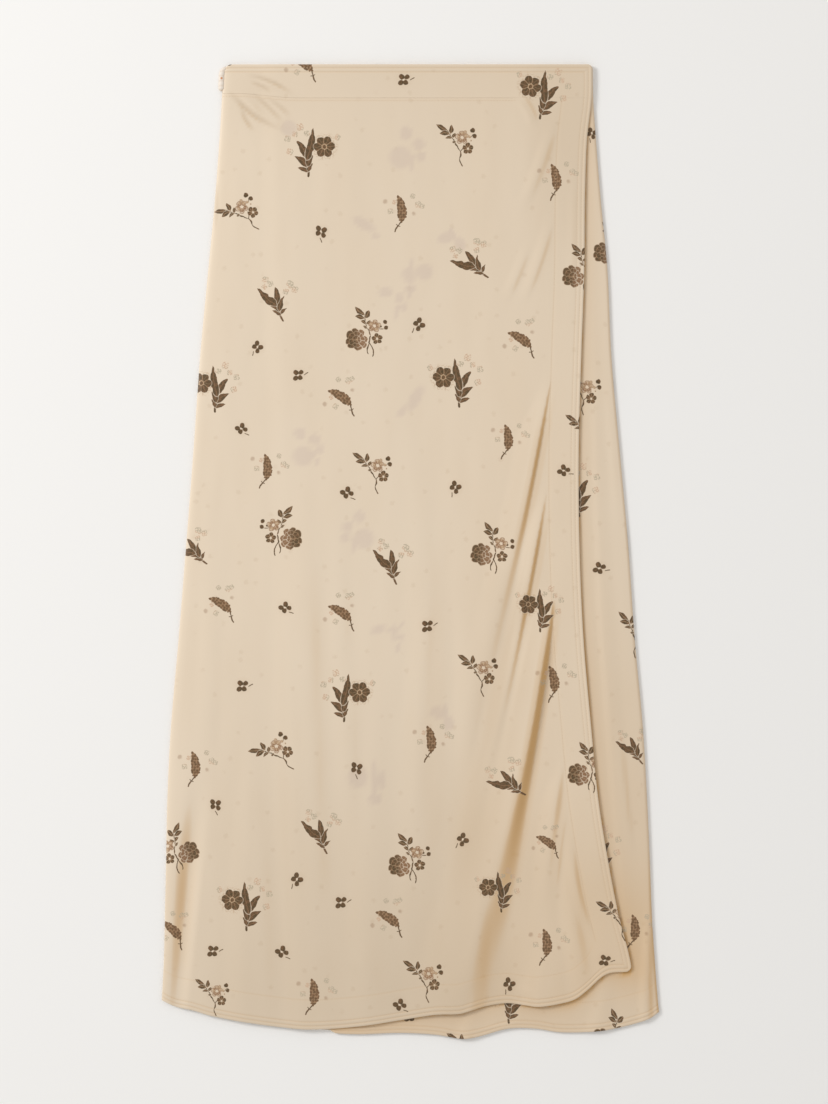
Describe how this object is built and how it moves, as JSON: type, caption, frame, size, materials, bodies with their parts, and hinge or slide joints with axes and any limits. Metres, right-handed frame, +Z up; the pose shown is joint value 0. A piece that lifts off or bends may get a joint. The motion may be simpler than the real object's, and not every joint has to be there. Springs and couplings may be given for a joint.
{
  "type": "wrap skirt laid flat",
  "caption": "Long wrap skirt in printed satin, laid flat and face up, with a plain waistband, a faced wrap edge and soft folds falling from it to the hem.",
  "frame": {"origin": "centre of the bounding box at its lowest level, on the surface that the skirt lies on", "axes": "+X to the right seen from above, +Y along the skirt towards the waist, +Z up out of the front of the skirt"},
  "size_m": [0.4893, 0.9598, 0.0137],
  "materials": {
    "printed_satin": "sand satin with a soft sheen, printed with scattered brown flowers and leaves",
    "plain_satin": "plain sand satin, gathered"
  },
  "bodies": {
    "root": {"back_panel": "printed_satin", "under_front_panel": "printed_satin", "front_panel": "printed_satin", "waistband_back": "printed_satin", "waistband_under": "printed_satin", "waistband_front": "printed_satin", "side_tie_loop": "plain_satin"}
  },
  "joints": []
}
